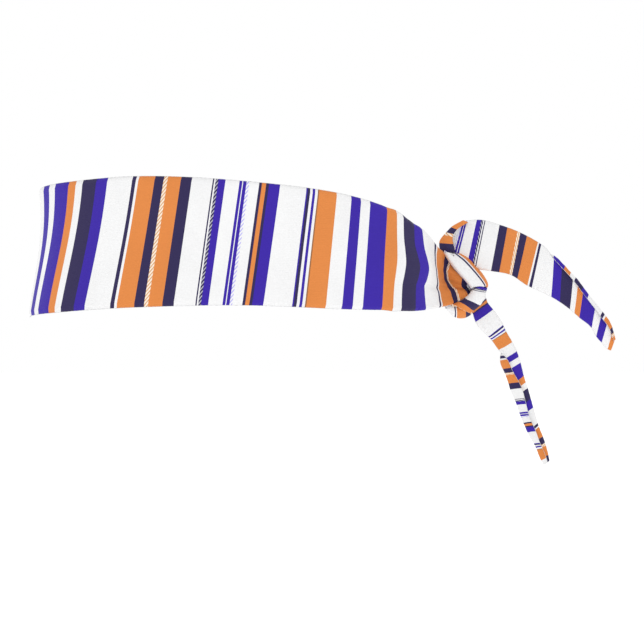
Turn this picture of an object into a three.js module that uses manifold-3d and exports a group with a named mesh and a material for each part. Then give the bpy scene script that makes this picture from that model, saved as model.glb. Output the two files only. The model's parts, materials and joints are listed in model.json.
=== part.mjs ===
// A tie-back sports headband: a long double-ply strip of printed stretch fabric, worn round the head and
// tied at the back of it with a half knot, so that its two tapering ends hang from the knot as tails.
//
// Millimetres, +Z up. The wearer faces -Y and the knot is at +Y; +X is the wearer's left. The origin is
// the centre of the head opening, at the height of the band's middle line over the ears.
//
// The strip is two plies sewn along both edges and turned right side out. Each ply is a thin solid beside
// a middle surface, and the seam is a thin round solid along each edge. Inside the knot the plies are
// crushed together, so each end of the strip is one solid strand there.
import * as THREE from "three";
import { mergeVertices } from "three/addons/utils/BufferGeometryUtils.js";
import Module from "manifold-3d";

// The head that the band goes round.
const HEAD_FRONT = 96.5; // from the origin to the forehead
const HEAD_BACK = 104; // from the origin to where the two sides would meet at the back
const HEAD_HALF_BREADTH = 75;

// The cloth.
const PLY = 0.6; // thickness of one ply
const PLY_GAP = 0.4; // between the two plies
const SEAM_RADIUS = 0.5;
const SEAM_GAP = 0.35; // between a ply's edge and the seam's thread
const BAND_END = 149; // degrees round the head from the forehead to where the gathers start
const BAND_STEPS = 48;
const ACROSS_STEPS = 4;

// How far the strip's edges lean at the sides, more at the temples, and at the forehead.
const LEAN_SIDE = 4.2;
const LEAN_TEMPLE = 2.2;
const LEAN_FRONT = 3;
const LEAN_END = 150; // degrees round the head where the lean has died out
const LEAN_FADE = 50; // degrees over which it dies out
const BROW_FORWARD = 3.2; // how far the band stands forward of the head's outline at the forehead

// Height of the band's two edges at angles round the head from the forehead, the same on both sides.
const TOP_EDGE = [[0, 27.5], [30, 31], [62, 33.4], [95, 30.2], [125, 22.8], [145, 13.2], [157, 5]];
const BOTTOM_EDGE = [[0, -36], [30, -33.6], [65, -30.2], [95, -29.1], [125, -31.3], [157, -32.4]];

// Knot strands: the middle of each gathered strip, its half width and half thickness, and the direction
// that its width points in.
const LEFT_STRAND = [
  { at: [35.2, 91.9, -12], half: [20, 1.3], wide: [0, 0, 1] },
  { at: [26.8, 97, -14], half: [17.5, 1.8], wide: [0, 0, 1] },
  { at: [18, 100.6, -15.9], half: [13.4, 2.2], wide: [0, 0, 1] },
  { at: [9.5, 104.4, -18.6], half: [6, 2.8], wide: [0, 0.1, 1] },
  { at: [3, 110.2, -19], half: [5.4, 3.2], wide: [0, 0.25, 1] },
  { at: [-1.5, 116, -21.5], half: [5, 3.4], wide: [0, 0.6, 0.8] },
  { at: [-3, 119.7, -26.3], half: [4.6, 3], wide: [0, 0.85, 0.5] },
  { at: [-2.5, 121.9, -30.6], half: [4.4, 2.6], wide: [0, 0.87, 0.5] },
];
const RIGHT_STRAND = [
  { at: [-35.2, 91.9, -12], half: [20, 1.3], wide: [0, 0, 1] },
  { at: [-26.8, 97, -14], half: [17.5, 1.8], wide: [0, 0, 1] },
  { at: [-19.5, 101, -16.4], half: [13.4, 2.4], wide: [0, 0, 1] },
  { at: [-13.5, 103.8, -20.5], half: [8.6, 3.2], wide: [0, 0.1, 1] },
  { at: [-8, 106.6, -27.4], half: [5.6, 3.2], wide: [0.3, 0.6, 0.7] },
  { at: [-1, 110, -32], half: [5, 3], wide: [0, 1, 0] },
  { at: [7, 113.6, -33.2], half: [5, 3], wide: [-0.3, 0.9, 0.3] },
  { at: [12.6, 118, -28.6], half: [5.2, 2.8], wide: [0, 0.75, 0.65] },
  { at: [15.2, 119, -20.5], half: [5.8, 2.4], wide: [0, 0.8, 0.6] },
  { at: [16.2, 113.8, -11.5], half: [5.8, 2.2], wide: [0, 0.8, 0.6] },
  { at: [15.2, 108.4, -4], half: [5.2, 2.2], wide: [0, 0.75, 0.65] },
];
// The right strand turns back on itself at the top of the knot and ends in the upper tail's neck.
const TURN_CENTRE = [11.2, 106.6, -0.8];
const TURN_RADIUS = 5;
const UPPER_NECK = [
  { at: [8, 104, 0.4], half: [3.6, 1.7], wide: [0, 0, 1] },
  { at: [7.2, 107, 1.4], half: [4.8, 1.9], wide: [0, 0, 1] },
  { at: [7.2, 110.5, 1.6], half: [4.6, 1.8], wide: [0, 0, 1] },
  { at: [7.2, 113.4, 1.6], half: [2.8, 1.4], wide: [0, 0, 1] },
];
const STRAND_STEPS = 5; // cross sections from one listed place to the next

// The tails: the middle of the strip and its half width, from the knot to the tip.
const UPPER_TAIL = [
  [7.2, 117.6, 1.6, 9.6], [7.8, 125.5, 0, 11.2], [8.8, 133.5, -3, 11.8], [10, 141.5, -5.8, 11.6],
  [11, 149.5, -9.4, 10.8], [11.6, 157.5, -15, 8.6], [11.8, 165.5, -22, 6.9], [11.4, 173.5, -29.6, 5.5],
  [10.8, 181, -38.8, 4.7], [10.2, 186, -44.8, 4],
  [10, 188.6, -47.6, 2.2],
];
const LOWER_TAIL = [
  [-3, 126.2, -38, 4.9], [-3.6, 132.2, -46.8, 4.7], [-4.6, 137.2, -57.5, 4.8], [-5.6, 140.7, -67.5, 4.7],
  [-6.2, 144.2, -77.5, 4.1], [-6.2, 148, -87.5, 3.5], [-5.8, 151.4, -97, 3], [-5.2, 154, -104.4, 2.4],
  [-5, 155.5, -108.6, 1.3],
];
const TAIL_STEPS = 30;
const UPPER_FOLD_AT = 0.45; // share of the upper tail's length at which it folds sideways
const LOWER_FOLD_AT = 0.47;
const FOLD_GAP = 1.5; // between the two halves of a tail, so that one can turn against the other
const ROLL_RADIUS = 1.5; // of the lower tail's lengthwise fold
const ROLL_SHARE = 0.9; // how far the folded-over part reaches back across, in half widths

const ROLL_STEPS = 4; // faces round the fold
const CROWN_SHARE = 0.07; // how far the upper tail bulges across, in half widths

const SIDES = 16; // of a strand's cross section
const SEAM_SIDES = 6;
const TURN_SIDES = 14; // round the ball where the right strand turns back

const wasm = await Module();
wasm.setup();

const smooth = (points) => new THREE.CatmullRomCurve3(points, false, "centripetal");

// Height from a list of [angle, height] places, along a smooth curve through them.
function heightAt(places, angle) {
  let i = 1;
  while (i < places.length - 2 && angle > places[i][0]) i++;
  const at = (k) => places[Math.min(Math.max(k, 0), places.length - 1)];
  const [a, b] = [at(i - 1), at(i)];
  const span = b[0] - a[0];
  const slope = (p, q) => (q[0] === p[0] ? 0 : ((q[1] - p[1]) / (q[0] - p[0])) * span);
  const s = (angle - a[0]) / span;
  const m0 = i === 1 ? 0 : slope(at(i - 2), b);
  const m1 = slope(a, at(i + 1));
  const s2 = s * s;
  const s3 = s2 * s;
  return (2 * s3 - 3 * s2 + 1) * a[1] + (s3 - 2 * s2 + s) * m0 + (3 * s2 - 2 * s3) * b[1] + (s3 - s2) * m1;
}

// A closed solid through rings of equal, even numbers of points. A ring runs along one face of the section
// and back along the other, so each end closes like a ladder between the two.
function loft(rings) {
  const n = rings[0].length;
  const positions = rings.flat().flatMap((p) => [p.x, p.y, p.z]);
  const index = [];
  const quad = (a, b, c, d) => index.push(a, b, c, a, c, d);
  for (let r = 0; r + 1 < rings.length; r++)
    for (let k = 0; k < n; k++) {
      const next = (k + 1) % n;
      quad(r * n + k, r * n + next, (r + 1) * n + next, (r + 1) * n + k);
    }
  const last = (rings.length - 1) * n;
  for (let k = 0; k < n / 2 - 1; k++) {
    quad(k, n - 1 - k, n - 2 - k, k + 1);
    quad(last + k, last + k + 1, last + n - 2 - k, last + n - 1 - k);
  }
  return facingOut(positions, index);
}

function facingOut(positions, index) {
  const g = new THREE.BufferGeometry();
  g.setAttribute("position", new THREE.BufferAttribute(new Float32Array(positions), 3));
  const corner = (i) => new THREE.Vector3().fromArray(positions, index[i] * 3);
  let volume = 0;
  for (let i = 0; i < index.length; i += 3) volume += corner(i).dot(corner(i + 1).cross(corner(i + 2)));
  g.setIndex(volume < 0 ? index.slice().reverse() : index);
  return g;
}

// The closed outline of a ply's section: its outer face in order, and its inner face back again. A section
// is a list of { at, out }: a point of the strip's middle surface and the way the front face looks there.
function plyRing(section, near, far) {
  const face = (offset) => section.map(({ at, out }) => at.clone().addScaledVector(out, offset));
  return [...face(far), ...face(near).reverse()];
}

// The two plies of a strip: front on the side that "out" points to, back on the other.
function frontPly(sections) {
  return loft(sections.map((s) => plyRing(s, PLY_GAP / 2, PLY_GAP / 2 + PLY)));
}

function backPly(sections) {
  return loft(sections.map((s) => plyRing(s, -PLY_GAP / 2 - PLY, -PLY_GAP / 2)));
}

// The seam along one edge of a strip: a round solid just outside the plies' edges.
function edgeSeam(sections, atStart) {
  const distance = SEAM_GAP + SEAM_RADIUS;
  return loft(
    sections.map((section) => {
      const [edge, inner] = atStart ? [section[0], section[1]] : [section.at(-1), section.at(-2)];
      const away = edge.at.clone().sub(inner.at).normalize();
      const centre = edge.at.clone().addScaledVector(away, distance);
      return ellipse(centre, away, edge.out, SEAM_RADIUS, SEAM_RADIUS, SEAM_SIDES);
    }),
  );
}

// Points round an ellipse, starting beside its long axis so that its ladder closing is even.
function ellipse(centre, wideAxis, thinAxis, wide, thin, sides) {
  return Array.from({ length: sides }, (_, k) => {
    const a = (Math.PI * (2 * k + 1)) / sides;
    return centre
      .clone()
      .addScaledVector(wideAxis, wide * Math.cos(a))
      .addScaledVector(thinAxis, thin * Math.sin(a));
  });
}

// How far the band's top edge lies behind its middle line, and its bottom edge before it, at an angle round
// the head in radians. The lean is greatest at the temples and dies out towards the knot.
function lean(angle) {
  const front = Math.max(Math.cos(angle), 0);
  const temple = front > 0 ? Math.sin(2 * angle) ** 2 : 0;
  const fade = THREE.MathUtils.clamp((LEAN_END - THREE.MathUtils.radToDeg(angle)) / LEAN_FADE, 0, 1);
  return (LEAN_SIDE + LEAN_TEMPLE * temple + (LEAN_FRONT - LEAN_SIDE) * front ** 2) * fade;
}

// One section of the band, across the strip from its bottom edge to its top edge.
function bandSection(degrees) {
  const side = Math.sign(degrees) || 1;
  const angle = THREE.MathUtils.degToRad(Math.abs(degrees));
  const front = Math.max(Math.cos(angle), 0);
  const depth = Math.cos(angle) > 0 ? HEAD_FRONT : HEAD_BACK;
  const x = HEAD_HALF_BREADTH * Math.sin(angle) * side;
  const y = -depth * Math.cos(angle) - BROW_FORWARD * front ** 2;
  const bottom = new THREE.Vector3(x, y - lean(angle), heightAt(BOTTOM_EDGE, Math.abs(degrees)));
  const top = new THREE.Vector3(x, y + lean(angle), heightAt(TOP_EDGE, Math.abs(degrees)));
  const out = new THREE.Vector3(
    Math.sin(angle) * side * depth,
    -Math.cos(angle) * HEAD_HALF_BREADTH,
    0,
  ).normalize();
  return Array.from({ length: ACROSS_STEPS + 1 }, (_, k) => ({
    at: bottom.clone().lerp(top, k / ACROSS_STEPS),
    out: out.clone(),
  }));
}

function bandSections() {
  return Array.from({ length: BAND_STEPS + 1 }, (_, k) =>
    bandSection(-BAND_END + (2 * BAND_END * k) / BAND_STEPS),
  );
}

// A gathered strand through the listed places, as one closed tube of oval section.
function strand(places) {
  const centres = smooth(places.map((p) => new THREE.Vector3(...p.at)));
  const widths = smooth(places.map((p) => new THREE.Vector3(...p.wide)));
  const halves = smooth(places.map((p) => new THREE.Vector3(...p.half, 0)));
  const steps = (places.length - 1) * STRAND_STEPS;
  const rings = Array.from({ length: steps + 1 }, (_, k) => {
    const t = k / steps;
    const along = centres.getTangent(t);
    const wide = widths.getPoint(t).projectOnPlane(along).normalize();
    const thin = along.clone().cross(wide);
    const half = halves.getPoint(t);
    return ellipse(centres.getPoint(t), wide, thin, half.x, half.y, SIDES);
  });
  return loft(rings);
}

function toManifold(geometry) {
  const bare = geometry.clone();
  bare.deleteAttribute("normal");
  bare.deleteAttribute("uv");
  const merged = mergeVertices(bare, 1e-4);
  return new wasm.Manifold(
    new wasm.Mesh({
      numProp: 3,
      vertProperties: merged.attributes.position.array,
      triVerts: new Uint32Array(merged.index.array),
    }),
  );
}

function joined(geometries) {
  const made = geometries.map(toManifold).reduce((a, b) => a.add(b)).getMesh();
  const g = new THREE.BufferGeometry();
  g.setAttribute("position", new THREE.BufferAttribute(made.vertProperties, 3));
  g.setIndex(new THREE.BufferAttribute(made.triVerts, 1));
  return g;
}

// The right strand: it comes from the wearer's right, passes under the left strand, crosses over it on the
// wearer's left, and turns back at the top into the upper tail's neck.
function rightStrand() {
  const turn = new THREE.SphereGeometry(TURN_RADIUS, TURN_SIDES, TURN_SIDES - 4);
  turn.translate(...TURN_CENTRE);
  return joined([strand(RIGHT_STRAND), turn, strand(UPPER_NECK)]);
}

// The middle line of a tail from one share of its length to another, with the strip's half width, and the
// axes of its section: "wide" across the strip and "out" away from its front face.
function tailStations(places, from, to) {
  const centres = smooth(places.map(([x, y, z]) => new THREE.Vector3(x, y, z)));
  const halves = smooth(places.map((p) => new THREE.Vector3(p[3], 0, 0)));
  const steps = Math.round(TAIL_STEPS * (to - from));
  return Array.from({ length: steps + 1 }, (_, k) => {
    const t = from + ((to - from) * k) / steps;
    const along = centres.getTangent(t);
    const wide = new THREE.Vector3(1, 0, 0).cross(along).normalize();
    const out = along.clone().cross(wide).normalize();
    return { centre: centres.getPoint(t), wide, out, half: halves.getPoint(t).x };
  });
}

// The upper tail's section is flat, with a slight crown across it.
function flatSection({ centre, wide, out, half }) {
  const crown = CROWN_SHARE * half;
  return Array.from({ length: ACROSS_STEPS + 1 }, (_, k) => {
    const t = (2 * k) / ACROSS_STEPS - 1;
    const at = centre
      .clone()
      .addScaledVector(wide, half * t)
      .addScaledVector(out, crown * (1 - t * t));
    return { at, out: out.clone() };
  });
}

// The lower tail is folded lengthwise: its section runs from one edge to the fold and back over its own
// front, so that the back ply shows on the folded-over part.
function foldedSection({ centre, wide, out, half }) {
  const radius = Math.min(ROLL_RADIUS, half / 2);
  const turn = radius - half; // where across the strip the fold starts
  const reach = half * ROLL_SHARE;
  const point = (w, h, nw, nh) => ({
    at: centre.clone().addScaledVector(wide, w).addScaledVector(out, h),
    out: wide.clone().multiplyScalar(nw).addScaledVector(out, nh),
  });
  const section = [point(half, -radius, 0, 1), point(0, -radius, 0, 1)];
  for (let k = 0; k <= ROLL_STEPS; k++) {
    const a = (Math.PI * k) / ROLL_STEPS;
    const [side, up] = [Math.sin(a), Math.cos(a)];
    section.push(point(turn - radius * side, -radius * up, side, up));
  }
  section.push(point(turn + reach / 2, radius, 0, -1), point(turn + reach, radius, 0, -1));
  return section;
}

function tailSections(places, from, to, section) {
  return tailStations(places, from, to).map(section);
}

function tailLength(places) {
  return smooth(places.map(([x, y, z]) => new THREE.Vector3(x, y, z))).getLength();
}

const fabric = () => new THREE.MeshStandardMaterial({ color: 0xf1f1ef, roughness: 0.85, metalness: 0 });
const lining = () => new THREE.MeshStandardMaterial({ color: 0xe9e7e2, roughness: 0.9, metalness: 0 });
const thread = () => new THREE.MeshStandardMaterial({ color: 0xdcdcd8, roughness: 0.7, metalness: 0 });

function piece(group, name, geometry, material) {
  const mesh = new THREE.Mesh(geometry, material);
  mesh.name = name;
  group.add(mesh);
}

// The four pieces of one stretch of strip: two plies and a seam along each edge.
function stripPieces(group, name, sections, [front, back], [startSeam, endSeam]) {
  piece(group, `${name}_${front}`, frontPly(sections), fabric());
  piece(group, `${name}_${back}`, backPly(sections), lining());
  piece(group, `${name}_${startSeam}`, edgeSeam(sections, true), thread());
  piece(group, `${name}_${endSeam}`, edgeSeam(sections, false), thread());
}

function tail(name, places, section, foldAt, seams) {
  const group = new THREE.Group();
  const halfGap = FOLD_GAP / 2 / tailLength(places);
  const halves = [
    [`${name}_tail`, 0, foldAt - halfGap],
    [`${name}_tip`, foldAt + halfGap, 1],
  ];
  for (const [part, from, to] of halves)
    stripPieces(group, part, tailSections(places, from, to, section), ["front_ply", "back_ply"], seams);
  return group;
}

function headband() {
  const group = new THREE.Group();
  stripPieces(group, "band", bandSections(), ["outer_ply", "inner_ply"], ["bottom_seam", "top_seam"]);
  piece(group, "left_knot_strand", strand(LEFT_STRAND), fabric());
  piece(group, "right_knot_strand", rightStrand(), fabric());
  group.add(tail("upper", UPPER_TAIL, flatSection, UPPER_FOLD_AT, ["bottom_seam", "top_seam"]));
  group.add(tail("lower", LOWER_TAIL, foldedSection, LOWER_FOLD_AT, ["outer_seam", "folded_seam"]));
  return group;
}

export default headband();
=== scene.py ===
# A tie-back sports headband of printed stretch fabric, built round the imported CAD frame.
#
# The cloth's lengths are in millimetres in the frame of the part (+Z up, the wearer faces -Y, the knot is
# at +Y, +X is the wearer's left) and become metres when a mesh is made. The materials' bump distances, the
# camera, the floor and the lights are in metres. The strip of cloth is described by rows: a row is one line
# of the print across the cloth, given by its place in the printed pattern and by the points that it passes
# through.
import json
import math

import bpy
import numpy as np
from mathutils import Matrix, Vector


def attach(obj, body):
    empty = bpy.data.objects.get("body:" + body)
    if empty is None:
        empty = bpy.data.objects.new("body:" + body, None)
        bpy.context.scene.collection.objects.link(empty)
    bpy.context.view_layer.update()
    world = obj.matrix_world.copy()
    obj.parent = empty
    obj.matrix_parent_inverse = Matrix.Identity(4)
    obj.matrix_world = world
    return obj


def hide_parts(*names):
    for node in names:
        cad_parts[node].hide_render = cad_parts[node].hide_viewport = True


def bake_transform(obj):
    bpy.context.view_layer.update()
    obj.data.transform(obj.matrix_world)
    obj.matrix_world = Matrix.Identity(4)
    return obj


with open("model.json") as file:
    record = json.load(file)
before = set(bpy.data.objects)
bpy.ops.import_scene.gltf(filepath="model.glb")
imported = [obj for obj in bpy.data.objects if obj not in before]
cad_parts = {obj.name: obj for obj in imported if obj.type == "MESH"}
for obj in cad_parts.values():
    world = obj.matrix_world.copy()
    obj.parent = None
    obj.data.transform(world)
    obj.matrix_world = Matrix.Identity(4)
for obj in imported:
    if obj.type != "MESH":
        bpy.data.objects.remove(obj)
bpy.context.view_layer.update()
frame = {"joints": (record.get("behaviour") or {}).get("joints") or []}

MM = 0.001

# ---------------------------------------------------------------------------------------------- the cloth

HEAD_FRONT = 96.5
HEAD_BACK = 104.0
HEAD_HALF_BREADTH = 75.0
BAND_END = 149.0  # degrees round the head from the forehead to where the gathers start
FORMULA_END = 136.0  # degrees up to which the band follows the head's outline exactly
LEAN_SIDE = 4.2  # how far each edge is from the middle line, the top one backwards, over the ears
LEAN_TEMPLE = 2.2  # how much more at the temples
LEAN_FRONT = 3.0  # and how far at the forehead
LEAN_END = 150.0  # degrees where the lean has faded out
LEAN_FADE = 50.0  # degrees over which it fades
BROW_FORWARD = 3.2  # how far the band stands out past the head's outline at the forehead
# Heights of the band's edges, as (degrees round the head from the forehead, height).
TOP_EDGE = [(0, 27.5), (30, 31), (62, 33.4), (95, 30.2), (125, 22.8), (145, 13.2), (157, 5)]
BOTTOM_EDGE = [(0, -36), (30, -33.6), (65, -30.2), (95, -29.1), (125, -31.3), (157, -32.4)]

HALF_CLOTH = 0.8  # half the thickness of the two plies together
PLY = 0.55
EDGE_ROUND = 1.3  # how far in from a turned edge the cloth reaches its full thickness
PLY_LEAST = 0.03  # a ply's inner face stays at least this far from the middle of the cloth
SEAM_RADIUS = 0.13
STITCH_PITCH = 2.4
STITCH_SWELL = 0.25  # how much the thread swells at a stitch, as a share of its radius
THREAD_STEP = 0.6
THREAD_SIDES = 8
FORWARD = np.array([1.0, 0.0, 0.0])
ROLL_DEPTH = 2.0  # from the middle of the cloth to the middle of the part folded over it
CREASE_START = 186.0  # place in the print where the near side's lengthwise crease starts
CREASE_END = 226.0  # and where it starts to fade
CREASE_DEPTH = 0.8
PLEATS = 5.5  # pleats across the cloth where it is gathered
LEFT_PLEAT_DEPTH = 0.12
RIGHT_PLEAT_DEPTH = 0.6
BUNDLE_PLEATS = 7
BUNDLE_PLEAT_DEPTH = 0.35
LOOP_FOLDS = (0.22, 14.0)  # height of the soft folds round the head, and length of one radian of them
TAIL_FOLDS = (0.18, 6.0, 0.08, 5.0)  # the same on the tails, then height and length of the puckers

# The printed pattern repeats every PERIOD mm, and its first stripe starts this far before the forehead.
BROW_PLACE = -30.2
BROW_SLACK = 10.0  # how far the print is eased forward at the middle of the forehead
BROW_SLACK_REACH = 14.0
NAPE_STRETCH = 3.0  # how much further on the print is towards the nape, where the cloth is pulled less
NAPE_START = 120.0  # distance from the forehead where that starts
NAPE_LENGTH = 110.0
BACK_SHIFT = 68.2  # how far the back ply's print is ahead of the front ply's
BROW_HOLLOW = 2.5  # how far the band hollows in above its lower edge at the forehead

# How finely the cloth is divided, as (steps along the print, points across it).
BAND_GRID = (420, 30)
LEFT_KNOT_GRID = (110, 44)
RIGHT_KNOT_GRID = (90, 44)
BUNDLE_GRID = (60, 60)
FOLD_GRID = (50, 30)
WRAP_GRID = (80, 50)
ROOT_FOLD_GRID = (50, 24)
TAIL_GRID = (90, 34)
TIP_GRID = (120, 34)
STRIP_ROW_POINTS = 9
TAIL_ROW_POINTS = 32

# ------------------------------------------------------------------------------- rows of the knot and tails

# Where the near side gathers towards the knot: place in the print, then points from bottom to top. The far
# side mirrors all but the last FAR_ROWS_LESS of these rows.
FAR_ROWS_LESS = 2
NEAR_GATHER = [
    (193.4, [(48.6, 77.5, -32.3), (48.6, 78.2, -19.9), (48.2, 79.7, -7.7),
     (48.4, 79.6, 4.6), (48.4, 79.5, 17)]),
    (197.8, [(45.8, 81.3, -32.3), (45.8, 81.8, -20.5), (44.8, 83.7, -8.7),
     (45.4, 82.8, 3.1), (45.6, 82.6, 15)]),
    (207.2, [(38.2, 88.7, -32.4), (38.4, 88.9, -21.6), (36.6, 91.1, -10.8),
     (38.2, 88.7, 0), (38.4, 88.4, 10.8)]),
    (214.1, [(32, 94.1, -32.1), (32.6, 93.3, -21.9), (31.2, 95.6, -11.8),
     (32.8, 93.4, -1.6), (33, 92.3, 8.5)]),
    (228.3, [(19.6, 101.4, -31), (19.6, 100.2, -22.7), (20.4, 99.5, -14.4),
     (20, 98.5, -6.1), (19.6, 98.5, 2.2)]),
    (232.2, [(16.4, 103.1, -30.7), (16, 101.6, -23), (17, 100.6, -15.4),
     (17, 99.7, -7.7), (16, 100.2, 0)]),
    (240.8, [(10.4, 108.7, -29.4), (9.4, 106.9, -23.4), (8.6, 104.1, -17.9),
     (10, 103.4, -11), (9, 104.3, -3.5)]),
    (245.5, [(9, 111.2, -28.9), (7.6, 109.7, -23.4), (5.8, 106.4, -19.2),
     (8.4, 105.4, -12.5), (7, 107.3, -5.5)]),
    (247.9, [(8.8, 112.2, -28.4), (7.6, 110.9, -23.2), (5.4, 107.6, -19.5),
     (8.6, 106.3, -12.9), (7, 108.3, -6.5)]),
    (254.7, [(8, 115.7, -26.9), (8, 115.5, -24.4), (5.6, 113, -20.9),
     (8.4, 112.8, -16.4), (6, 113.3, -10.5)]),
    (260.5, [(6.4, 117.3, -27.4), (6.4, 116.8, -23.9), (4.6, 115.6, -21),
     (6, 115.8, -17), (4, 117.4, -10.5)]),
]
# The near side's way on through the knot to the lower tail.
NEAR_THROUGH = [
    (268, [(5, 118, -28.6), (5, 118, -25.5), (4, 118.5, -22), (4.5, 119, -18.5), (3, 120, -14)]),
    (279, [(3.5, 118.2, -30.6), (4, 119.2, -28), (4, 120.5, -25.2), (3.5, 122, -22.2), (2.5, 123.8, -19)]),
    (290, [(1.5, 118.2, -32.6), (2.5, 120, -31), (3, 121.8, -29), (2.5, 123.6, -27), (1.5, 125, -24.6)]),
]
# The pleat along the near side's lower edge, from its inner edge over its crest to its outer edge.
LOWER_PLEAT = [
    (70.9, [(8, 107.3, -29.1), (11.4, 109.7, -30.1), (12.4, 113.1, -32.1),
     (9, 117.2, -33.9), (4, 117.4, -33.4)]),
    (77.7, [(9, 110.7, -28.1), (12.4, 112.6, -28.8), (13.4, 115.6, -30.6),
     (9.6, 118.5, -32.8), (4, 118.4, -31.9)]),
    (83.5, [(9.4, 114.2, -26.1), (12.8, 115.6, -27.1), (13.8, 118.8, -28.5),
     (10, 122.1, -30.1), (4, 121.9, -28.9)]),
    (93.9, [(9.4, 117.9, -22.2), (12.4, 119.3, -22.6), (13.2, 122, -23.3),
     (9.6, 125.1, -23.6), (4, 124.9, -23)]),
    (99.9, [(8.4, 119.7, -19.4), (10.8, 121.1, -20.2), (11.4, 123.1, -20.6),
     (8, 125.7, -21.7), (3, 125.4, -21)]),
]
# The fold that shows under the knot.
UNDER_LOOP = [
    (42, [(3, 104.4, -29), (7, 104.6, -30.4), (7.4, 105.5, -32.1),
     (4, 106.4, -33.4), (-2, 106.6, -32)]),
    (51.3, [(5, 108.9, -28.9), (9.6, 109.1, -31.1), (9.8, 109.5, -33.4),
     (5.4, 109.4, -35.8), (-2, 109.6, -34)]),
    (55.2, [(5.4, 110.3, -28.9), (10.4, 110.5, -31.4), (10.4, 110.7, -33.8),
     (5.8, 110.7, -36.4), (-2, 110.8, -34.5)]),
    (63.8, [(5.6, 114.3, -28.9), (10.8, 114.6, -31.3), (10.4, 114.9, -33.8),
     (5.8, 115, -36.3), (-2, 115.1, -34.5)]),
    (68.5, [(5, 116.8, -28.4), (10, 116.9, -30.9), (9.4, 117.1, -33.4),
     (5.4, 117.4, -35.1), (-2, 117.1, -33.5)]),
    (74, [(3, 118.9, -27.5), (6, 119.3, -29.4), (5.4, 119.3, -31.4),
     (2.4, 119.4, -33), (-3, 118.6, -31.5)]),
]
# The far side's wrap over the knot, from its front edge round the back, each row from its upper to its
# lower end.
WRAP = [
    (36, [(7.5, 103.8, -4.2), (7.6, 107.1, -9.2), (8, 109.8, -12.7),
     (8, 112.7, -15.9), (8, 115.6, -19.2), (8, 118.1, -22.7)]),
    (38, [(10, 103.7, -3.3), (11.2, 106.8, -8.4), (11.8, 109.5, -11.9),
     (12, 112.4, -15.2), (11.8, 115.3, -18.3), (11, 118, -21.9)]),
    (45, [(11.6, 106.4, -3.3), (13, 110.4, -7.2), (13.8, 113.1, -10.7),
     (14, 116, -14.2), (13.6, 118.8, -17.6), (12.4, 121.1, -20.9)]),
    (51.3, [(10.6, 108.9, -4), (12.2, 113.3, -7.6), (13.1, 116.4, -10.8),
     (13.2, 119.5, -14.3), (12.5, 122.4, -17.9), (11.2, 124.5, -20.8)]),
    (55.2, [(9.6, 110.6, -3.9), (11.1, 114.8, -7), (12, 118, -10.4),
     (12.1, 121.1, -14.1), (11.4, 123.8, -17.6), (10, 125.5, -20.5)]),
    (62, [(6, 112.3, -3.5), (6.6, 117.1, -6.3), (7.4, 120.3, -10.5),
     (7.6, 123.5, -14.2), (7, 125.9, -18.2), (6, 126.5, -21.1)]),
    (69, [(1.5, 111, -3), (1.5, 115.5, -6.8), (1.5, 118.8, -11),
     (1.5, 122, -15), (1, 124.4, -19.3), (0.5, 125.2, -22.5)]),
    (76, [(-4, 110.5, -3), (-4, 114.5, -7), (-4.5, 117.5, -11.5),
     (-4.5, 120.5, -16), (-4.5, 122.5, -20.5), (-4.5, 123.3, -24)]),
    (83, [(-8.5, 109, -3.5), (-9, 112, -8), (-9.5, 114.5, -12.5),
     (-9.5, 116.5, -17), (-9.5, 118, -21.5), (-9, 118.5, -26)]),
    (88, [(-8, 106.5, -4.5), (-8, 109, -9), (-8.5, 111, -13.5),
     (-8.5, 112.5, -18), (-8.5, 114, -22), (-8, 114.5, -26)]),
]
# The bundle inside the knot: place in the print, its middle, and its half size across and up.
KNOT_CORE = [
    (20, (-1.5, 102, -15), 3, 6),
    (27, (-1.8, 105, -16.5), 4.6, 8.5),
    (36, (-1.8, 110, -18.5), 5.2, 10),
    (46, (-1.6, 115, -20.5), 5, 9),
    (54, (-1.2, 119, -22.5), 3.8, 6.5),
    (59, (-1, 121, -23), 2, 3.5),
]
# The far side's last run up out of the knot, before it folds over into the upper tail.
ROOT_FOLD = [
    (88, [(5.4, 102.9, -7.3), (6, 106.5, -7.5), (5.6, 110.2, -7.5)]),
    (83.5, [(8.4, 102.1, -3.8), (9.8, 106, -3.8), (8.8, 110, -4)]),
    (77.7, [(9.2, 101.5, 1.3), (11.6, 105.2, 1), (10.8, 109, 0.7)]),
    (70.9, [(9.4, 103.8, 5.3), (11.4, 106.4, 4.7), (10.8, 108.9, 4.1)]),
    (68.5, [(9.4, 105.2, 6.8), (11.3, 107.4, 6.2), (10.8, 109.5, 5.8)]),
    (63.8, [(9.2, 107.6, 9.3), (10.8, 109.3, 8.5), (10.4, 111.1, 7.8)]),
    (55.2, [(8.6, 113.3, 12.6), (9.7, 114.9, 12), (9.6, 116.4, 11.3)]),
]
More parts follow.
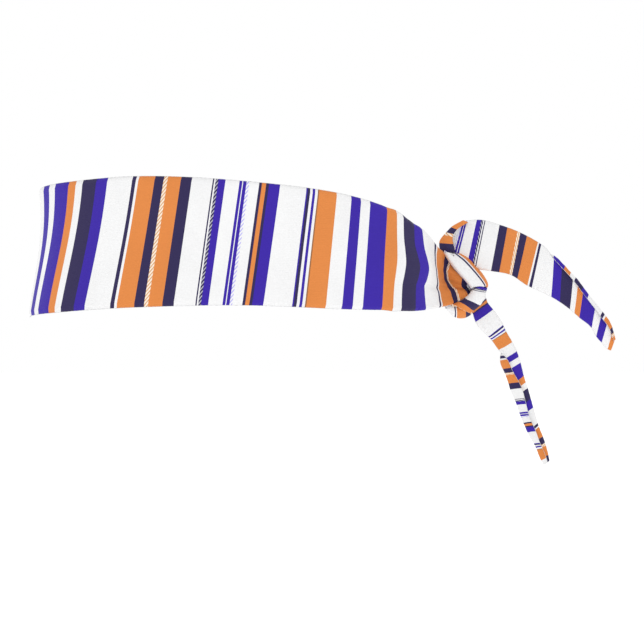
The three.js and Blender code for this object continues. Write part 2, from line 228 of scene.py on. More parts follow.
# The upper tail: place in the print, x, then (y, z) of the bottom edge and of the top edge, and how far the
# top edge rolls over.
UPPER_TAIL = [
    (122, 3.4, (102.8, -4), (107.4, 6.2), 0),
    (117, 4.6, (104.8, -7), (110.4, 8.8), 0),
    (111.7, 5.8, (107.6, -8.5), (113.4, 11.6), 0),
    (106.9, 6.7, (110.6, -9.5), (116.1, 12.1), 0),
    (99.9, 7.6, (115.8, -11), (120.9, 12.6), 0),
    (83.5, 8.4, (127.7, -12.9), (132, 10), 0),
    (70.8, 9, (137, -14.7), (141, 6.7), 0),
    (55.2, 9.8, (145.8, -20.2), (151, 1.4), 0),
    (44, 10.3, (153.4, -23.5), (155.8, -2.6), 0),
    (37.1, 10.6, (157.8, -25.9), (158.9, -6.2), 0.6),
    (20.8, 11.2, (167.3, -32.3), (168.6, -16.4), 1.2),
    (10.7, 11.3, (171.8, -36.3), (173.6, -22.4), 1.7),
    (0, 11.2, (177.6, -41.2), (179.4, -29.6), 1.9),
    (-6, 11, (180.1, -45.7), (182.7, -34.3), 1.6),
    (-11.3, 10.8, (182.8, -48.8), (185.6, -38.3), 1.3),
    (-19.6, 10.4, (185.6, -51.8), (187.9, -43.5), 1.2),
    (-24, 10.2, (187.2, -52.4), (189, -47), 1.0),
]
# The lower tail: place in the print, x, then (y, z) of the outer edge, of the lengthwise fold, and of the
# folded-over edge.
LOWER_TAIL = [
    (286, 2.5, (124.2, -22.5), (118, -31.5), (118, -31.5)),
    (292, 2, (125.2, -25.4), (118.3, -32.8), (118.3, -32.8)),
    (298, 1.4, (126.4, -28.9), (118.8, -34.1), (118.8, -34.1)),
    (304, 0.6, (129, -32.2), (120.3, -38.4), (120.3, -38.4)),
    (317.5, -1, (133.8, -39.5), (126.4, -45.4), (126.4, -45.4)),
    (324.6, -1.8, (135.8, -43.4), (128.6, -47.9), (128.6, -47.9)),
    (334.3, -2.6, (138.7, -48.5), (132, -52.5), (132, -52.5)),
    (341.6, -3.2, (140.7, -52.4), (133.3, -57.2), (135.9, -56.9)),
    (354.3, -4, (142.9, -59.1), (135.5, -63.6), (139, -63.3)),
    (364.9, -4.6, (144.7, -65.4), (138.2, -70.4), (142.8, -70.1)),
    (375.1, -5, (146.6, -71.6), (140.1, -76), (144.7, -75.6)),
    (384.5, -5.3, (148.2, -77.3), (142, -81.1), (146, -80.9)),
    (391.4, -5.5, (149.5, -81.6), (143.7, -85.4), (147.1, -85.2)),
    (405.6, -5.6, (151.7, -89.2), (147.1, -93.1), (150.4, -92.9)),
    (418.1, -5.4, (154.2, -96), (149.9, -98.7), (152.5, -98.7)),
    (432, -5, (157, -105.1), (153.6, -106.6), (155.5, -105.7)),
    (437.7, -4.8, (157.6, -108.1), (155.4, -109.8), (156.5, -109)),
]

# ------------------------------------------------------------------------------------------------ the print

WHITE = (0.80, 0.80, 0.803)
ORANGE = (0.68, 0.225, 0.054)
BLUE = (0.037, 0.014, 0.335)
NAVY = (0.026, 0.019, 0.078)
CREAM = (0.86, 0.74, 0.62)
TAN = (0.62, 0.33, 0.14)
PALE_BLUE = (0.42, 0.40, 0.80)
GREY = (0.45, 0.45, 0.50)
BROWN = (0.30, 0.13, 0.05)

# Stripes in order: width and colour. A hatched stripe is crossed by slanting threads of its second colour.
STRIPES = [
    (10.66, BLUE), (5.76, ORANGE), (4.40, WHITE), (9.4, NAVY), (6.9, BLUE), (14.2, WHITE), (1.96, NAVY),
    (1.94, WHITE), (8.61, ORANGE), (4.70, NAVY), (2.32, CREAM, TAN), (6.86, ORANGE), (5.74, NAVY),
    (10.47, WHITE), (0.73, NAVY), (0.49, WHITE), (1.17, NAVY, GREY), (3.54, BLUE), (7.01, WHITE),
    (1.06, BLUE), (1.01, WHITE), (0.97, BLUE), (0.58, WHITE), (1.21, WHITE, PALE_BLUE), (5.07, WHITE),
    (1.11, NAVY), (1.94, ORANGE), (1.16, NAVY), (5.97, BLUE), (13.56, WHITE), (0.60, BLUE), (0.50, WHITE),
    (0.95, NAVY), (1.35, WHITE), (1.45, BLUE), (1.76, WHITE), (0.45, BROWN), (9.72, ORANGE), (7.32, WHITE),
    (0.54, BLUE), (0.54, WHITE), (5.3, BLUE), (5.95, WHITE),
]
PERIOD = sum(stripe[0] for stripe in STRIPES)
HATCH_PITCH = 2.3
HATCH_SLOPE = 1.4
HATCH_SHARE = 0.4
WALE_PITCH = 0.85  # between rows of knitted loops across the strip
COURSE_PITCH = 0.65  # and along it
UPPER_BACK_MEETS = 38.0  # place in the print where the front's and the back's prints meet on the upper tail
UPPER_BACK_SCALE = 1.2
LOWER_TIP_PLACE = 2 * PERIOD  # where the print starts again near the lower tail's tip
LOWER_BACK_SCALE = 1.12

# ------------------------------------------------------------------------------------- where the tails split, and their joints

UPPER_SPLIT = 68.0  # place in the print where a tail ends and its tip starts
LOWER_SPLIT = 342.0
# Offsets from the point of each joint to where a bend there would start and end; no bend is made with them.
UPPER_ROOT_SPAN = ((0, -7, -3), (0, 9, 2))
UPPER_FOLD_SPAN = ((0, -5.8, 3.9), (0, 5.8, -3.9))
LOWER_ROOT_SPAN = ((0, -2.5, 4.5), (0, 3.5, -6))
LOWER_FOLD_SPAN = ((0, -2, 5.7), (0, 2, -5.7))


# --------------------------------------------------------------------------------------- curves and surfaces


def through(keys, values, at):
    """The smooth curve through values at rising keys, read at the places in at."""
    keys, values, at = (np.asarray(a, float) for a in (keys, values, at))
    slopes = np.gradient(values, keys, axis=0)
    i = np.clip(np.searchsorted(keys, at) - 1, 0, len(keys) - 2)
    shape = (-1,) + (1,) * (values.ndim - 1)
    span = (keys[i + 1] - keys[i]).reshape(shape)
    s = ((at - keys[i]).reshape(shape)) / span
    s2, s3 = s * s, s * s * s
    start = (2 * s3 - 3 * s2 + 1) * values[i] + (s3 - 2 * s2 + s) * span * slopes[i]
    return start + (3 * s2 - 2 * s3) * values[i + 1] + (s3 - s2) * span * slopes[i + 1]


def unit(vectors):
    return vectors / np.maximum(np.linalg.norm(vectors, axis=-1, keepdims=True), 1e-9)


def edge_height(places, degrees):
    keys, heights = zip(*places)
    return through(keys, heights, degrees)


def band_edges(degrees):
    """The band's bottom and top edge points at signed angles round the head from the forehead."""
    angle = np.radians(np.abs(degrees))
    side = np.where(degrees < 0, -1.0, 1.0)
    front = np.maximum(np.cos(angle), 0)
    temple = np.where(front > 0, np.sin(2 * angle) ** 2, 0)
    fade = np.clip((LEAN_END - np.abs(degrees)) / LEAN_FADE, 0, 1)
    lean = (LEAN_SIDE + LEAN_TEMPLE * temple + (LEAN_FRONT - LEAN_SIDE) * front**2) * fade
    depth = np.where(np.cos(angle) > 0, HEAD_FRONT, HEAD_BACK)
    x = HEAD_HALF_BREADTH * np.sin(angle) * side
    y = -depth * np.cos(angle) - BROW_FORWARD * front**2
    bottom = np.stack([x, y - lean, edge_height(BOTTOM_EDGE, np.abs(degrees))], -1)
    top = np.stack([x, y + lean, edge_height(TOP_EDGE, np.abs(degrees))], -1)
    return bottom, top


def band_places(degrees):
    """Place in the print at signed angles round the head: the distance along the band's middle line."""
    fine = np.linspace(-180, 180, 1441)
    bottom, top = band_edges(fine)
    middle = ((bottom + top) / 2)[:, :2]
    arc = np.concatenate([[0], np.cumsum(np.linalg.norm(np.diff(middle, axis=0), axis=1))])
    arc = arc - np.interp(0, fine, arc)
    relaxed = np.clip((np.abs(arc) - NAPE_START) / NAPE_LENGTH, 0, 1) ** 1.5
    relaxed = np.sign(arc) * NAPE_STRETCH * relaxed
    slack = BROW_SLACK * np.exp(-((arc / BROW_SLACK_REACH) ** 2))
    return np.interp(degrees, fine, arc + relaxed + slack) + BROW_PLACE


def finer(rows, count):
    """The same rows with count points each, spread evenly along a smooth curve."""
    made = []
    for place, points in rows:
        points = np.array(points, float)
        fine = through(np.linspace(0, 1, len(points)), points, np.linspace(0, 1, 200))
        lengths = np.concatenate([[0], np.cumsum(np.linalg.norm(np.diff(fine, axis=0), axis=1))])
        at = np.linspace(0, lengths[-1], count)
        made.append((place, np.stack([np.interp(at, lengths, fine[:, k]) for k in range(3)], -1)))
    return made


def mirrored(rows):
    """The same rows on the wearer's right, in the print's order there."""
    flip = [(2 * BROW_PLACE - place, np.array(points) * (-1, 1, 1)) for place, points in rows]
    return flip[::-1]


def strip_rows():
    """Rows of the whole strip round the head, from inside the knot on the right to inside it on the left."""
    degrees = np.arange(-FORMULA_END, FORMULA_END + 1, 4.0)
    bottom, top = band_edges(degrees)
    share = np.linspace(0, 1, STRIP_ROW_POINTS)[:, None]
    brow = np.maximum(np.cos(np.radians(degrees)), 0)[:, None] ** 3
    points = bottom[:, None] + (top - bottom)[:, None] * share
    points[:, :, 1] += BROW_HOLLOW * brow * np.sin(math.pi * share[:, 0] ** 1.4)
    band = list(zip(band_places(degrees), points))
    gather = finer(NEAR_GATHER + NEAR_THROUGH, STRIP_ROW_POINTS)
    return mirrored(gather[: len(NEAR_GATHER) - FAR_ROWS_LESS]) + band + gather


class Cloth:
    """A grid of points on the middle of the cloth, with each point's place in the print and across it."""

    def __init__(self, rows, grid, start=None, end=None, facing=1):
        steps, across = grid
        places = np.array([r[0] for r in rows], float)
        way = 1 if places[-1] > places[0] else -1
        points = np.array([r[1] for r in rows], float)
        start = places[0] if start is None else start
        end = places[-1] if end is None else end
        at = np.linspace(start, end, steps)
        lines = through(way * places, points, way * at)
        columns = np.linspace(0, 1, points.shape[1])
        dense = through(columns, lines.swapaxes(0, 1), np.linspace(0, 1, across))
        self.points = dense.swapaxes(0, 1)
        self.place = np.repeat(at[:, None], across, 1)
        self.facing = facing
        self.measure()

    def measure(self):
        """Distance across the cloth at each point, from one edge and from the other, and its normals."""
        gaps = np.linalg.norm(np.diff(self.points, axis=1), axis=2)
        self.across = np.concatenate([np.zeros((len(gaps), 1)), np.cumsum(gaps, 1)], 1)
        self.from_edge = np.minimum(self.across, self.across[:, -1:] - self.across)
        along = np.gradient(self.points, axis=0)
        over = np.gradient(self.points, axis=1)
        self.normal = unit(np.cross(along, over)) * self.facing

    def shifted(self, distance):
        """Points moved along the normals by a distance, which may differ from point to point."""
        return self.points + self.normal * np.asarray(distance)[..., None]

    def waved(self, heights):
        """Moves the cloth along its normals, for soft folds and puckers."""
        self.points = self.shifted(heights)
        self.measure()
        return self


def rounding(cloth):
    """Half the thickness at each point: full in the middle, rounding off to the turned edges."""
    inward = 1 - np.clip(cloth.from_edge / EDGE_ROUND, 0, 1)
    return HALF_CLOTH * np.sqrt(np.maximum(1 - inward**2, 0.02))


def soft_folds(cloth, height, length, pucker_height=0.12, pucker_length=7.0):
    """Slow undulation of worn cloth, with small puckers along the sewn edges."""
    s, v = cloth.place, cloth.across
    slow = np.sin(s / length + v / 23) + 0.6 * np.sin(1.7 * s / length - v / 17 + 1.3)
    pucker = np.sin(2 * math.pi * s / pucker_length + 0.7 * np.sin(s / 11))
    near_edge = np.exp(-((cloth.from_edge / 3.0) ** 2))
    return height * slow + pucker_height * pucker * near_edge


# ---------------------------------------------------------------------------------------------------- meshes


def grid_faces(rows, columns, first=0, flip=False):
    faces = []
    for i in range(rows - 1):
        for j in range(columns - 1):
            a = first + i * columns + j
            quad = (a, a + columns, a + columns + 1, a + 1)
            faces.append(quad[::-1] if flip else quad)
    return faces


def rim_faces(rows, columns, flip):
    """Faces that join two equal grids along all four of their borders."""
    ring = [(i, 0) for i in range(rows)]
    ring += [(rows - 1, j) for j in range(1, columns)]
    ring += [(i, columns - 1) for i in range(rows - 2, -1, -1)]
    ring += [(0, j) for j in range(columns - 2, 0, -1)]
    index = [i * columns + j for i, j in ring]
    second = rows * columns
    faces = []
    for a, b in zip(index, index[1:] + index[:1]):
        quad = (a, second + a, second + b, b)
        faces.append(quad[::-1] if flip else quad)
    return faces


def make_mesh(name, points, faces, uvs, material):
    """A smooth-shaded mesh object from points in mm, with one (u, v) for each corner of each face."""
    mesh = bpy.data.meshes.new(name)
    mesh.from_pydata((np.asarray(points) * MM).tolist(), [], faces)
    layer = mesh.uv_layers.new(name="strip")
    layer.data.foreach_set("uv", np.asarray(uvs, np.float32).ravel())
    mesh.polygons.foreach_set("use_smooth", [True] * len(mesh.polygons))
    mesh.materials.append(material)
    mesh.validate()
    piece = bpy.data.objects.new(name, mesh)
    bpy.context.scene.collection.objects.link(piece)
    return piece


def shell(name, cloth, front, back, material, back_place=None):
    """A closed thin solid between two layers of points, with the print's places as its texture map."""
    rows, columns = cloth.place.shape
    flip = cloth.facing < 0
    points = np.concatenate([front.reshape(-1, 3), back.reshape(-1, 3)])
    map_front = np.stack([cloth.place, cloth.across], -1).reshape(-1, 2) / PERIOD
    place = cloth.place if back_place is None else back_place
    map_back = np.stack([place, cloth.across], -1).reshape(-1, 2) / PERIOD
    uv = np.concatenate([map_front, map_back])
    rim_uv = np.concatenate([map_front, map_front])
    sides = grid_faces(rows, columns, 0, flip) + grid_faces(rows, columns, rows * columns, not flip)
    rim = rim_faces(rows, columns, flip)
    corners = [uv[i] for face in sides for i in face] + [rim_uv[i] for face in rim for i in face]
    made = make_mesh(name, points, sides + rim, corners, material)
    sharpen_ends(made.data, rows, columns)
    return made


def sharpen_ends(mesh, rows, columns):
    """Keeps the smooth shading of a sheet from running round its cut ends."""
    row_of = (np.arange(2 * rows * columns) % (rows * columns)) // columns
    for edge in mesh.edges:
        a, b = edge.vertices
        edge.use_edge_sharp = bool(row_of[a] == row_of[b] and row_of[a] in (0, rows - 1))


def front_ply(name, cloth, material):
    full = rounding(cloth)
    inner = np.maximum(full - PLY, PLY_LEAST)
    return shell(name, cloth, cloth.shifted(full), cloth.shifted(inner), material)


def back_ply(name, cloth, material, back_place):
    """The ply behind, with the print that back_place gives at each place of the front ply's print."""
    full = rounding(cloth)
    inner = np.maximum(full - PLY, PLY_LEAST)
    made = shell(name, cloth, cloth.shifted(-inner), cloth.shifted(-full), material)
    layer = made.data.uv_layers["strip"].data
    uv = np.zeros(len(layer) * 2, np.float32)
    layer.foreach_get("uv", uv)
    uv[0::2] = back_place(uv[0::2] * PERIOD) / PERIOD
    layer.foreach_set("uv", uv)
    return made


def both_plies(name, cloth, material):
    """Both plies together, as one closed solid."""
    full = rounding(cloth)
    return shell(name, cloth, cloth.shifted(full), cloth.shifted(-full), material, cloth.place + BACK_SHIFT)


def stitching(name, cloth, column, material):
    """The thread along one edge of the cloth, swelling at each stitch."""
    edge = cloth.points[:, column]
    lengths = np.concatenate([[0], np.cumsum(np.linalg.norm(np.diff(edge, axis=0), axis=1))])
    steps = int(lengths[-1] / THREAD_STEP)
    at = np.linspace(0, lengths[-1], steps)
    line = np.stack([np.interp(at, lengths, edge[:, k]) for k in range(3)], -1)
    normal = np.stack([np.interp(at, lengths, cloth.normal[:, column, k]) for k in range(3)], -1)
    along = unit(np.gradient(line, axis=0))
    away = unit(np.cross(along, normal))
    sides = THREAD_SIDES
    turn = np.linspace(0, 2 * math.pi, sides, endpoint=False)
    radius = SEAM_RADIUS * (1 + STITCH_SWELL * np.sin(2 * math.pi * at / STITCH_PITCH))
    ring = np.cos(turn)[None, :, None] * away[:, None] + np.sin(turn)[None, :, None] * unit(normal)[:, None]
    points = (line[:, None] + ring * radius[:, None, None]).reshape(-1, 3)
    faces = []
    for i in range(steps - 1):
        for k in range(sides):
            a, b = i * sides + k, i * sides + (k + 1) % sides
            faces.append((a, b, b + sides, a + sides))
    faces.append(tuple(range(sides))[::-1])
    faces.append(tuple((steps - 1) * sides + k for k in range(sides)))
    uvs = [(points[i][1] / PERIOD, points[i][2] / PERIOD) for face in faces for i in face]
    return make_mesh(name, points, faces, uvs, material)


# ------------------------------------------------------------------------------------------------- materials


def texture(tree, kind, settings):
    """A texture node in the object's own space, with its sockets set by name."""
    made = tree.nodes.new(kind)
    for socket, value in settings.items():
        made.inputs[socket].default_value = value
    space = tree.nodes.new("ShaderNodeTexCoord")
    tree.links.new(space.outputs["Object"], made.inputs["Vector"])
    return made


def bumped(tree, shader, height, strength, distance):
    bump = tree.nodes.new("ShaderNodeBump")
    bump.inputs["Strength"].default_value = strength
    bump.inputs["Distance"].default_value = distance
    tree.links.new(height, bump.inputs["Height"])
    tree.links.new(bump.outputs[0], shader.inputs["Normal"])


def spread(tree, value, low, high, start=0.0, end=1.0):
    """value, brought from the range start to end into the range low to high."""
    made = tree.nodes.new("ShaderNodeMapRange")
    tree.links.new(value, made.inputs["Value"])
    for socket, number in (("From Min", start), ("From Max", end), ("To Min", low), ("To Max", high)):
        made.inputs[socket].default_value = number
    return made.outputs[0]


def math_node(tree, operation, first, second=None):
    made = tree.nodes.new("ShaderNodeMath")
    made.operation = operation
    for socket, value in zip(made.inputs, (first, second)):
        if isinstance(value, (int, float)):
            socket.default_value = value
        elif value is not None:
            tree.links.new(value, socket)
    return made.outputs[0]


def stepped_ramp(tree, factor, stops):
    """A ramp with hard edges: stops are (place, colour), and each colour holds to the next place."""
    made = tree.nodes.new("ShaderNodeValToRGB")
    ramp = made.color_ramp
    ramp.interpolation = "CONSTANT"
    while len(ramp.elements) > 1:
        ramp.elements.remove(ramp.elements[0])
    ramp.elements[0].position = stops[0][0]
    ramp.elements[0].color = (*stops[0][1], 1)
    for place, colour in stops[1:]:
        element = ramp.elements.new(place)
        element.color = (*colour, 1)
    tree.links.new(factor, made.inputs[0])
    return made.outputs[0]


def mix_colour(tree, factor, a, b, blend="MIX"):
    made = tree.nodes.new("ShaderNodeMix")
    made.data_type = "RGBA"
    made.blend_type = blend
    for socket, value in ((made.inputs[0], factor), (made.inputs[6], a), (made.inputs[7], b)):
        if isinstance(value, (int, float)):
            socket.default_value = value
        elif isinstance(value, tuple):
            socket.default_value = (*value, 1)
        else:
            tree.links.new(value, socket)
    return made.outputs[2]


def stripe_stops():
    """Stops for the stripes, for where they are hatched, and for the colour of the hatches."""
    stops, hatch, threads, place = [], [(0.0, (0, 0, 0))], [(0.0, WHITE)], 0.0
    for stripe in STRIPES:
        stops.append((place / PERIOD, stripe[1]))
        if len(stripe) > 2:
            hatch.append((place / PERIOD, (1, 1, 1)))
            hatch.append(((place + stripe[0]) / PERIOD, (0, 0, 0)))
            threads.append((place / PERIOD, stripe[2]))
        place += stripe[0]
    return stops, hatch, threads


def printed_colour(tree, along, across):
    """The stripe colour at a place along the strip, in mm, with the slanting hatches."""
    phase = math_node(tree, "FRACT", math_node(tree, "DIVIDE", along, PERIOD))
    stops, hatch, threads = stripe_stops()
    half = len(stops) // 2
    first = stepped_ramp(tree, phase, stops[:half])
    second = stepped_ramp(tree, phase, stops[half:])
    later = math_node(tree, "GREATER_THAN", phase, stops[half][0])
    colour = mix_colour(tree, later, first, second)
    slant = math_node(tree, "SUBTRACT", across, math_node(tree, "MULTIPLY", along, HATCH_SLOPE))
    turn = math_node(tree, "FRACT", math_node(tree, "DIVIDE", slant, HATCH_PITCH))
    thread = math_node(tree, "LESS_THAN", turn, HATCH_SHARE)
    crossed = math_node(tree, "MULTIPLY", stepped_ramp(tree, phase, hatch), thread)
    return mix_colour(tree, crossed, colour, stepped_ramp(tree, phase, threads))


def knit_height(tree, along, across):
    """Rows of knitted loops, as a height for the bump."""
    wale = math_node(tree, "SINE", math_node(tree, "MULTIPLY", across, 2 * math.pi / WALE_PITCH))
    course = math_node(tree, "SINE", math_node(tree, "MULTIPLY", along, 2 * math.pi / COURSE_PITCH))
    return math_node(tree, "ADD", wale, math_node(tree, "MULTIPLY", course, 0.7))


def fabric(name, brightness, sheen):
    """Printed knit: stripes from the strip's own map, loops and yarn as bump, and a soft sheen. A brightness
    below 1 darkens the whole print as painted shade.
    """
    material = bpy.data.materials.new(name)
    material.use_nodes = True
    tree = material.node_tree
    shader = tree.nodes["Principled BSDF"]
    shader.inputs["Roughness"].default_value = 0.82
    shader.inputs["Specular IOR Level"].default_value = 0.25
    shader.inputs["Sheen Weight"].default_value = sheen
    shader.inputs["Sheen Roughness"].default_value = 0.45
    place = tree.nodes.new("ShaderNodeUVMap")
    place.uv_map = "strip"
    split = tree.nodes.new("ShaderNodeSeparateXYZ")
    tree.links.new(place.outputs[0], split.inputs[0])
    along = math_node(tree, "MULTIPLY", split.outputs[0], PERIOD)
    across = math_node(tree, "MULTIPLY", split.outputs[1], PERIOD)
    cloudy = texture(tree, "ShaderNodeTexNoise", {"Scale": 45.0, "Detail": 3.0}).outputs[0]
    yarn = texture(tree, "ShaderNodeTexNoise", {"Scale": 1400.0, "Detail": 2.0}).outputs[0]
    tone = spread(tree, cloudy, brightness * 0.97, brightness * 1.02, 0.3, 0.7)
    shade = math_node(tree, "MULTIPLY", tone, spread(tree, yarn, 0.93, 1.07))
    grey = tree.nodes.new("ShaderNodeCombineColor")
    for socket in grey.inputs:
        tree.links.new(shade, socket)
    colour = mix_colour(tree, 1.0, printed_colour(tree, along, across), grey.outputs[0], "MULTIPLY")
    tree.links.new(colour, shader.inputs["Base Color"])
    height = math_node(tree, "ADD", knit_height(tree, along, across), yarn)
    bumped(tree, shader, height, 0.25, 0.00012)
    return material


def thread_material():
    """Matt polyester thread with a fine twist."""
    material = bpy.data.materials.new("seam_thread")
    material.use_nodes = True
    tree = material.node_tree
    shader = tree.nodes["Principled BSDF"]
    shader.inputs["Roughness"].default_value = 0.7
    shader.inputs["Sheen Weight"].default_value = 0.2
    twist = texture(tree, "ShaderNodeTexWave", {"Scale": 900.0, "Distortion": 1.5}).outputs["Fac"]
    colour = mix_colour(tree, twist, (0.50, 0.50, 0.51), (0.66, 0.66, 0.67))
    tree.links.new(colour, shader.inputs["Base Color"])
    bumped(tree, shader, twist, 0.4, 0.0001)
    return material


PRINTED = fabric("printed_fabric", 1.0, 0.07)
# The inner plies have the same print as the outer ply, made 4% darker as painted shade for the inside of the
# cloth.
SHADED_LINING = fabric("inner_fabric", 0.96, 0.05)
THREAD = thread_material()

# ---------------------------------------------------------------------------------------------------- pieces


def finished(piece, nodes):
    """Hides the CAD nodes that the piece stands for, if any."""
    if nodes:
        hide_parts(*nodes)
    return piece


def rides(piece, body, *nodes, slot="printed_fabric"):
    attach(piece, body)
    return finished(piece, nodes)


def bends(piece, bodies, span, *nodes, slot="printed_fabric"):
    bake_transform(piece)
    return finished(piece, nodes)


def bend_span(joint, offsets):
    """The two points, in metres, where the bend at a joint starts and ends."""
    found = next(j for j in frame["joints"] if j["name"] == joint)
    pivot = np.array(found["pos_m"]) / MM
    return [tuple(c * MM for c in pivot + np.array(offset)) for offset in offsets]


def shifted_print(place):
    return place + BACK_SHIFT


def lower_back_print(place):
    """The back ply's print where it shows on the folded-over part of the lower tail."""
    return LOWER_TIP_PLACE + BACK_SHIFT + LOWER_BACK_SCALE * (place - LOWER_TIP_PLACE)


def flat_size(cloth):
    """(width, length) and area, in metres, measured on the modelled sheet: not the size of a real cut."""
    along = np.linalg.norm(np.diff(cloth.points, axis=0), axis=2)
    width = cloth.across[:, -1]
    middle = along[:, along.shape[1] // 2]
    area = float(np.sum((width[1:] + width[:-1]) / 2 * middle))
    return (float(width.max()) * MM, float(middle.sum()) * MM), area * MM * MM


def declare(cloth):
    """Works out a sheet's size, 10 mm or more, and its area, 0.3 to 1 of width times length, and does
    nothing more with them.
    """
    (width, length), area = flat_size(cloth)
    width, length = max(width, 0.01), max(length, 0.01)
    area = min(max(area, 0.3 * width * length), width * length)


def gather_crease(cloth):
    """One lengthwise crease that deepens towards the knot."""
    growth = np.clip((cloth.place - CREASE_START) / 36.0, 0, 1) ** 1.3
    share = cloth.across / cloth.across[:, -1:]
    end = np.clip((cloth.place - CREASE_END) / 12.0, 0, 1)
    return -CREASE_DEPTH * growth * (1 - end) * np.exp(-(((share - 0.3) / 0.045) ** 2))


def band_cloth_ends():
    """Places in the print where the band's sheets end and the knot's sheets start."""
    return band_places(np.array([-BAND_END, BAND_END]))


def band():
    start, end = band_cloth_ends()
    cloth = Cloth(strip_rows(), BAND_GRID, start, end)
    cloth.waved(soft_folds(cloth, *LOOP_FOLDS) + gather_crease(cloth))
    outer = rides(front_ply("band_outer_cloth", cloth, PRINTED), "band_and_knot", "band_outer_ply")
    lining = back_ply("band_inner_cloth", cloth, SHADED_LINING, shifted_print)
    inner = rides(lining, "band_and_knot", "band_inner_ply", slot="inner_fabric")
    for side, column in (("bottom", 0), ("top", -1)):
        thread = stitching(f"band_{side}_stitching", cloth, column, THREAD)
        rides(thread, "band_and_knot", f"band_{side}_seam", slot="seam_thread")
    declare(cloth)
    declare(cloth)


def gather_pleats(cloth, start, deep):
    """Pleats that grow from where the cloth starts to gather."""
    growth = np.clip((np.abs(cloth.place - start)) / 30.0, 0, 1) ** 1.5
    share = cloth.across / cloth.across[:, -1:]
    fade = np.sin(math.pi * np.clip(share, 0, 1)) ** 0.5
    return deep * growth * fade * np.sin(2 * math.pi * PLEATS * share + 0.6)


def knot_piece(name, cloth, *nodes):
    piece = rides(both_plies(name, cloth, PRINTED), "band_and_knot", *nodes)
    declare(cloth)


def knot_sides():
    rows = strip_rows()
    start, end = band_cloth_ends()
    left = Cloth(rows, LEFT_KNOT_GRID, end, rows[-1][0])
    left.waved(soft_folds(left, *LOOP_FOLDS) + gather_crease(left))
    left.waved(gather_pleats(left, end, LEFT_PLEAT_DEPTH))
    knot_piece("left_knot_cloth", left, "left_knot_strand")
    right = Cloth(rows, RIGHT_KNOT_GRID, rows[0][0], start)
    right.waved(soft_folds(right, *LOOP_FOLDS))
    right.waved(gather_pleats(right, start, RIGHT_PLEAT_DEPTH))
    knot_piece("right_knot_cloth", right, "right_knot_strand")


def core_rows():
    """Rows once round the bundle inside the knot, left open where the cloth's edges meet on its left."""
    turn = np.radians(np.linspace(10, 350, 15))
    rows = []
    for place, middle, across, up in KNOT_CORE:
        ring = np.stack([across * np.cos(turn), np.zeros_like(turn), up * np.sin(turn)], -1)
        rows.append((place, np.array(middle) + ring))
    return rows


def knot_folds():
    core = Cloth(core_rows(), BUNDLE_GRID)
    share = core.across / core.across[:, -1:]
    core.waved(BUNDLE_PLEAT_DEPTH * np.sin(2 * math.pi * BUNDLE_PLEATS * share))
    knot_piece("knot_inner_bundle", core)
    knot_piece("left_knot_lower_pleat", Cloth(LOWER_PLEAT, FOLD_GRID, facing=-1).waved(-HALF_CLOTH))
    knot_piece("left_knot_under_loop", Cloth(UNDER_LOOP, FOLD_GRID, facing=-1).waved(-HALF_CLOTH))
    knot_piece("right_knot_wrap", Cloth(WRAP, WRAP_GRID, facing=-1).waved(-HALF_CLOTH))


def rolled(edge, inward, lap):
    """Points of a half turn over an edge and down the front, lap mm long."""
    rise = FORWARD * ROLL_DEPTH * min(lap, 1)
    turn = [edge + rise * 0.15, edge + inward * 0.15 * lap + rise * 0.85]
    return turn + [edge + inward * lap * share + rise for share in (0.5, 1)]


def crowned(start, end, crown):
    """Points straight across from start to end, bulging forward by crown in the middle."""
    return [start + (end - start) * t + FORWARD * crown * 4 * t * (1 - t) for t in np.linspace(0, 1, 9)]


def upper_tail_rows():
    """Rows from the bottom edge up, over the rolled top edge."""
    rows = []
    for place, x, bottom, top, roll in UPPER_TAIL:
        low = np.array([x, *bottom], float)
        high = np.array([x, *top], float)
        width = np.linalg.norm(low - high)
        down = (low - high) / width
        points = crowned(low, high, 0.05 * width)
        if roll > 0:
            points = points[:-1] + rolled(high, down, roll)
        rows.append((place, points))
    return finer(rows, TAIL_ROW_POINTS)


def lower_tail_rows():
    """Rows from the outer edge to the lengthwise fold and back over the front."""
    rows = []
    for place, x, edge, fold, over in LOWER_TAIL:
        right = np.array([x - 0.8, *edge], float)
        left = np.array([x, *fold], float)
        back = np.array([x, *over], float)
        points = crowned(right, left, 0.06 * np.linalg.norm(left - right))
        lap = np.linalg.norm(back - left)
        if lap > 0:
            points = points[:-1] + rolled(left, (back - left) / lap, lap)
        rows.append((place, points))
    return finer(rows, TAIL_ROW_POINTS)


def upper_back_print(place):
    return (UPPER_BACK_MEETS - place) * UPPER_BACK_SCALE


def tail_part(part, cloth, bodies, span, seams, back_print):
    """A tail or its tip: two plies and two rows of stitching."""
    front = bends(front_ply(f"{part}_front_cloth", cloth, PRINTED), bodies, span, f"{part}_front_ply")
    lining = back_ply(f"{part}_back_cloth", cloth, SHADED_LINING, back_print)
    back = bends(lining, bodies, span, f"{part}_back_ply", slot="inner_fabric")
    for seam, column in seams:
        thread = stitching(f"{part}_{seam}_stitching", cloth, column, THREAD)
        bends(thread, bodies, span, f"{part}_{seam}_seam", slot="seam_thread")
    declare(cloth)
    declare(cloth)


def tail(name, rows, facing, split, spans, seams, back_print):
    """One end of the strip, as a tail from the knot and a tip beyond it."""
    root, tip = f"{name}_tail", f"{name}_tip"
    parts = [
        (root, rows[0][0], split, TAIL_GRID, ("band_and_knot", root), f"{root}_swing"),
        (tip, split, rows[-1][0], TIP_GRID, (root, tip), f"{tip}_fold"),
    ]
    for (part, start, end, grid, bodies, joint), offsets in zip(parts, spans):
        cloth = Cloth(rows, grid, start, end, facing)
        cloth.waved(soft_folds(cloth, *TAIL_FOLDS))
        tail_part(part, cloth, bodies, bend_span(joint, offsets), seams, back_print)


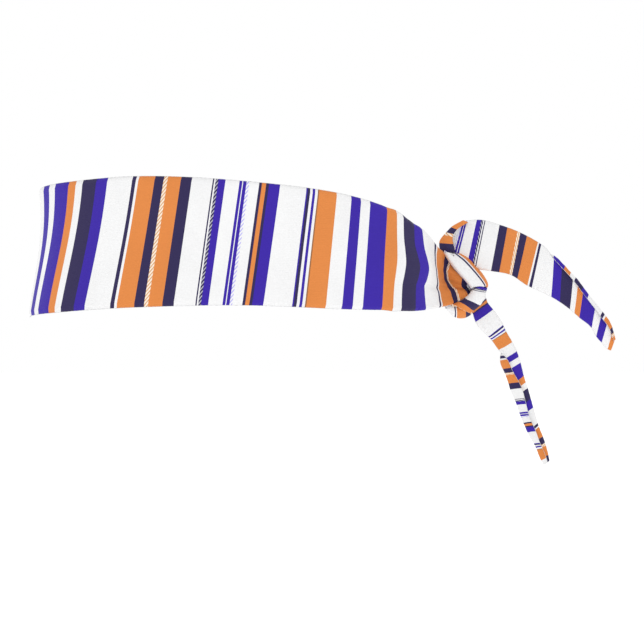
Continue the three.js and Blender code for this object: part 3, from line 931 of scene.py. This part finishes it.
def tails():
    spans = (UPPER_ROOT_SPAN, UPPER_FOLD_SPAN)
    seams = (("bottom", 0), ("top", -1))
    tail("upper", upper_tail_rows(), 1, UPPER_SPLIT, spans, seams, upper_back_print)
    spans = (LOWER_ROOT_SPAN, LOWER_FOLD_SPAN)
    seams = (("outer", 0), ("folded", -1))
    tail("lower", lower_tail_rows(), -1, LOWER_SPLIT, spans, seams, lower_back_print)


def root_fold():
    cloth = Cloth(ROOT_FOLD, ROOT_FOLD_GRID, facing=-1).waved(-HALF_CLOTH)
    piece = both_plies("upper_tail_root_fold", cloth, PRINTED)
    bends(piece, ("band_and_knot", "upper_tail"), bend_span("upper_tail_swing", UPPER_ROOT_SPAN))
    declare(cloth)


band()
knot_sides()
knot_folds()
tails()
root_fold()

# ------------------------------------------------------------------------ camera, floor and light, in metres

CAMERA_X = 2.2
CAMERA_Y = 0.0435
CAMERA_DROP = 0.0385  # how far below the camera's height it looks, at the part's middle plane
VIEW_WIDTH = 0.322
SENSOR = 36.0  # millimetres, as the lens is
FLOOR_Z = -0.24
FLOOR_HALF = 6.0


def add_camera():
    data = bpy.data.cameras.new("camera")
    data.sensor_width = SENSOR
    data.lens = SENSOR * CAMERA_X / VIEW_WIDTH
    camera = bpy.data.objects.new("camera", data)
    bpy.context.scene.collection.objects.link(camera)
    camera.location = (CAMERA_X, CAMERA_Y, 0)
    look = Vector((0, CAMERA_Y, -CAMERA_DROP)) - camera.location
    camera.rotation_euler = look.to_track_quat("-Z", "Y").to_euler()
    data.clip_end = 50
    bpy.context.scene.camera = camera


def add_floor():
    mesh = bpy.data.meshes.new("floor")
    corners = [(FLOOR_HALF * x, FLOOR_HALF * y, FLOOR_Z) for x, y in ((-1, -1), (1, -1), (1, 1), (-1, 1))]
    mesh.from_pydata(corners, [], [(0, 1, 2, 3)])
    material = bpy.data.materials.new("floor")
    material.use_nodes = True
    shader = material.node_tree.nodes["Principled BSDF"]
    shader.inputs["Base Color"].default_value = (0.93, 0.93, 0.93, 1)
    shader.inputs["Roughness"].default_value = 0.9
    shader.inputs["Emission Color"].default_value = (1, 1, 1, 1)
    shader.inputs["Emission Strength"].default_value = 0.3
    mesh.materials.append(material)
    floor = bpy.data.objects.new("floor", mesh)
    bpy.context.scene.collection.objects.link(floor)


def add_light(name, place, size, power):
    data = bpy.data.lights.new(name, "AREA")
    data.size = size
    data.energy = power
    light = bpy.data.objects.new(name, data)
    bpy.context.scene.collection.objects.link(light)
    light.location = place
    light.rotation_euler = (Vector((0, 0.04, 0)) - light.location).to_track_quat("-Z", "Y").to_euler()


def add_stage():
    world = bpy.data.worlds.new("studio")
    bpy.context.scene.world = world
    world.use_nodes = True
    background = world.node_tree.nodes["Background"]
    background.inputs["Color"].default_value = (1, 1, 1, 1)
    background.inputs["Strength"].default_value = 1.0
    add_light("key", (1.2, -0.5, 1.6), 1.2, 4)
    add_light("back", (-1.2, 1.0, 1.4), 1.2, 3)
    bpy.context.scene.view_settings.view_transform = "Standard"
    add_floor()
    add_camera()


add_stage()
